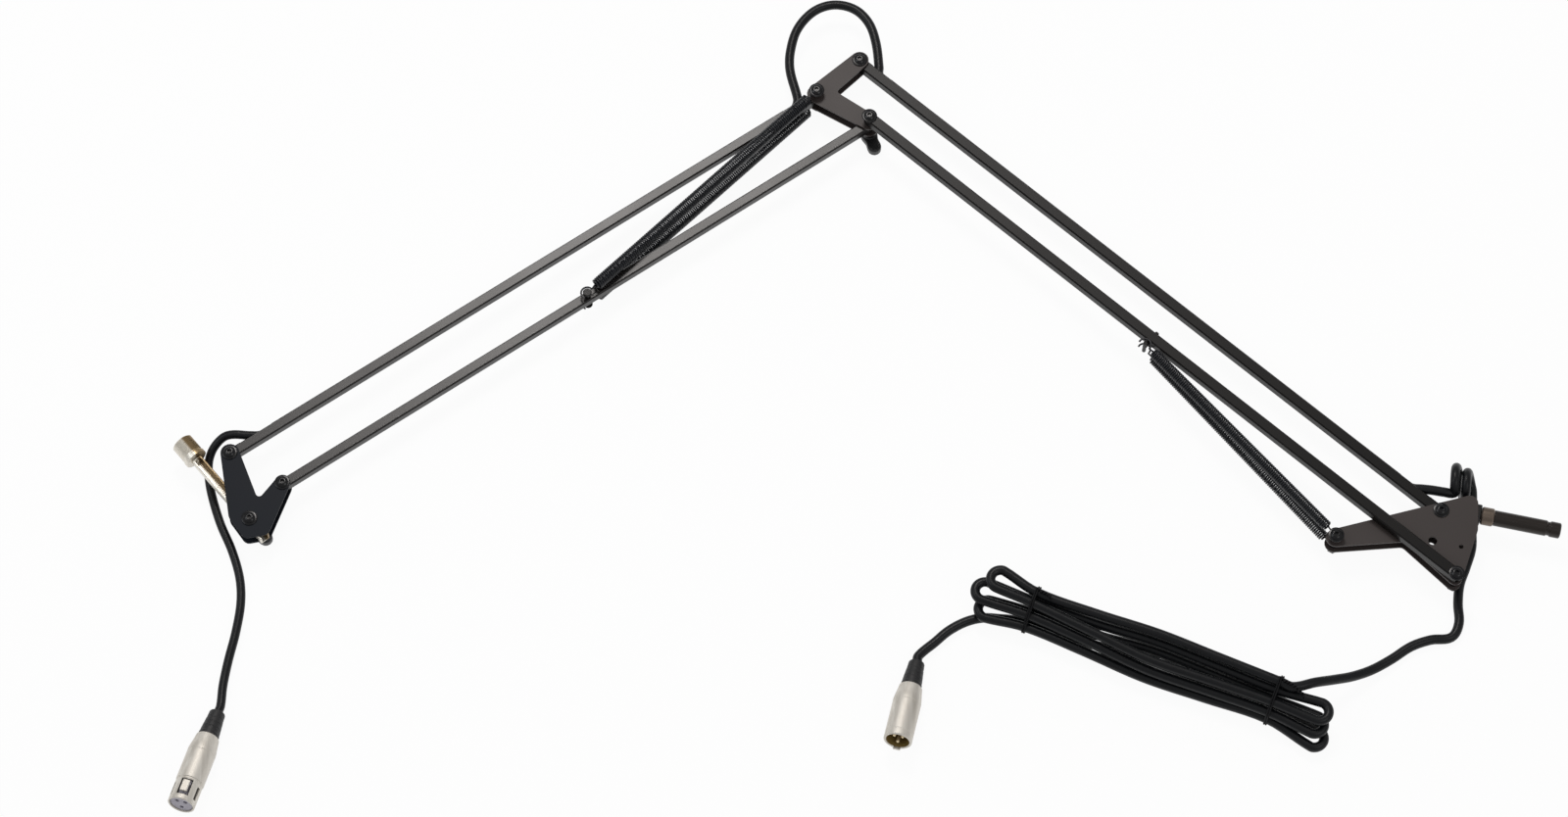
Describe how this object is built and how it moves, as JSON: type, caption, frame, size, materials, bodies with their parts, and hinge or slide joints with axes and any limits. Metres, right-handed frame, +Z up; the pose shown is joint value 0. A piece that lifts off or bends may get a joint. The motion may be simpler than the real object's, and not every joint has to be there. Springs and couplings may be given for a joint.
{
  "type": "desk microphone boom arm",
  "caption": "Spring-balanced two-section boom arm of square tubes with a clamp pin, a microphone stud, a cable along the arms, a tied hank and two three-pin connectors, laid flat.",
  "frame": {"origin": "centre of the arm's own footprint, without the free cable, on the table it lies on", "axes": "+Z up from the table; +X from the microphone end towards the clamp pin; +Y from the cable's hank towards the elbow"},
  "size_m": [0.9623, 0.6211, 0.0353],
  "materials": {
    "black_steel": "semi-gloss black paint",
    "black_zinc": "blackened, glossy",
    "spring_steel": "blackened spring wire",
    "nickel": "satin nickel plate",
    "gold": "plated contact",
    "black_rubber": "soft matt jacket",
    "black_plastic": "moulded black",
    "grey_plastic": "moulded grey",
    "brown_plastic": "moulded brown"
  },
  "bodies": {
    "base": {"base_front_plate": "black_steel", "base_rear_plate": "black_steel", "base_pin_block": "black_steel", "base_pin": "black_steel", "base_tip_spacer": "black_zinc", "base_top_bolt": "black_zinc", "base_top_nut": "black_zinc", "base_bottom_bolt": "black_zinc", "base_bottom_nut": "black_zinc", "base_spring_bolt": "black_zinc", "base_spring_nut": "black_zinc", "base_slack_loop": "black_rubber", "base_cable": "black_rubber", "cable_hank": "black_rubber", "tie_left": "black_plastic", "tie_right": "black_plastic", "male_cable_run": "black_rubber", "male_boot": "black_rubber", "male_shell": "nickel", "male_insert": "brown_plastic", "male_pin_1": "gold", "male_pin_2": "gold", "male_pin_3": "gold"},
    "outer_tube": {"outer_tube": "black_steel", "cable_in_outer_tube": "black_rubber"},
    "inner_tube": {"inner_tube": "black_steel", "lower_spring_anchor": "black_zinc", "lower_spring_front": "spring_steel", "lower_spring_rear": "spring_steel"},
    "elbow": {"elbow_front_plate": "black_steel", "elbow_rear_plate": "black_steel", "elbow_top_bolt": "black_zinc", "elbow_top_nut": "black_zinc", "elbow_left_bolt": "black_zinc", "elbow_left_nut": "black_zinc", "elbow_bottom_bolt": "black_zinc", "elbow_cable_loop": "black_rubber"},
    "elbow_knob": {"elbow_wing_knob": "black_plastic"},
    "upper_bar": {"upper_bar": "black_steel", "cable_in_upper_bar": "black_rubber"},
    "lower_bar": {"lower_bar": "black_steel", "upper_spring_anchor": "black_zinc", "upper_spring_front": "spring_steel", "upper_spring_rear": "spring_steel"},
    "head": {"head_front_plate": "black_steel", "head_rear_plate": "black_steel", "head_top_bolt": "black_zinc", "head_top_nut": "black_zinc", "head_right_bolt": "black_zinc", "head_right_nut": "black_zinc", "head_tilt_bolt": "black_zinc", "mic_lead": "black_rubber", "female_boot": "black_rubber", "female_shell": "nickel", "female_insert": "grey_plastic"},
    "head_knob": {"head_wing_knob": "black_plastic"},
    "mic_mount": {"mic_bracket": "nickel", "mic_stud": "nickel"},
    "female_latch": {"female_latch": "nickel"}
  },
  "joints": [
    {"name": "lower_arm_swing", "type": "hinge", "parent": "base", "child": "outer_tube", "pos_m": [0.398, -0.1734, 0.0178], "axis": [0, 0, 1], "range_deg": [-30, 14], "deforming": ["base_slack_loop", "elbow_cable_loop"]},
    {"name": "inner_tube_swing", "type": "hinge", "parent": "base", "child": "inner_tube", "pos_m": [0.40446, -0.22379, 0.0279], "axis": [0, 0, 1], "range_deg": [-30, 14], "deforming": ["lower_spring_front", "lower_spring_rear"]},
    {"name": "elbow_level", "type": "hinge", "parent": "outer_tube", "child": "elbow", "pos_m": [-0.00119, 0.17978, 0.0178], "axis": [0, 0, 1], "range_deg": [-14, 30]},
    {"name": "elbow_knob_turn", "type": "hinge", "parent": "elbow", "child": "elbow_knob", "pos_m": [0.00526, 0.12939, 0.006], "axis": [0, 0, 1], "continuous": true},
    {"name": "upper_arm_swing", "type": "hinge", "parent": "elbow", "child": "upper_bar", "pos_m": [-0.03245, 0.15205, 0.0178], "axis": [0, 0, 1], "range_deg": [-50, 45]},
    {"name": "lower_bar_swing", "type": "hinge", "parent": "elbow", "child": "lower_bar", "pos_m": [0.00526, 0.12939, 0.0178], "axis": [0, 0, 1], "range_deg": [-50, 45], "deforming": ["upper_spring_front", "upper_spring_rear"]},
    {"name": "head_level", "type": "hinge", "parent": "upper_bar", "child": "head", "pos_m": [-0.44114, -0.12988, 0.0178], "axis": [0, 0, 1], "range_deg": [-45, 50], "deforming": ["mic_lead"]},
    {"name": "head_knob_turn", "type": "hinge", "parent": "head", "child": "head_knob", "pos_m": [-0.42504, -0.17938, 0.006], "axis": [0, 0, 1], "continuous": true},
    {"name": "microphone_tilt", "type": "hinge", "parent": "head", "child": "mic_mount", "pos_m": [-0.42504, -0.17938, 0.0178], "axis": [0, 0, 1], "range_deg": [-3, 120]},
    {"name": "latch_press", "type": "slide", "parent": "head", "child": "female_latch", "axis": [-0.0538, -0.2008, -0.9781], "range_m": [0, 0.0012], "stiffness_N_per_m": 400}
  ],
  "couplings": [
    {"joint": "inner_tube_swing", "follows": "lower_arm_swing", "ratio": 1},
    {"joint": "elbow_level", "follows": "lower_arm_swing", "ratio": -1},
    {"joint": "lower_bar_swing", "follows": "upper_arm_swing", "ratio": 1},
    {"joint": "head_level", "follows": "upper_arm_swing", "ratio": -1}
  ]
}
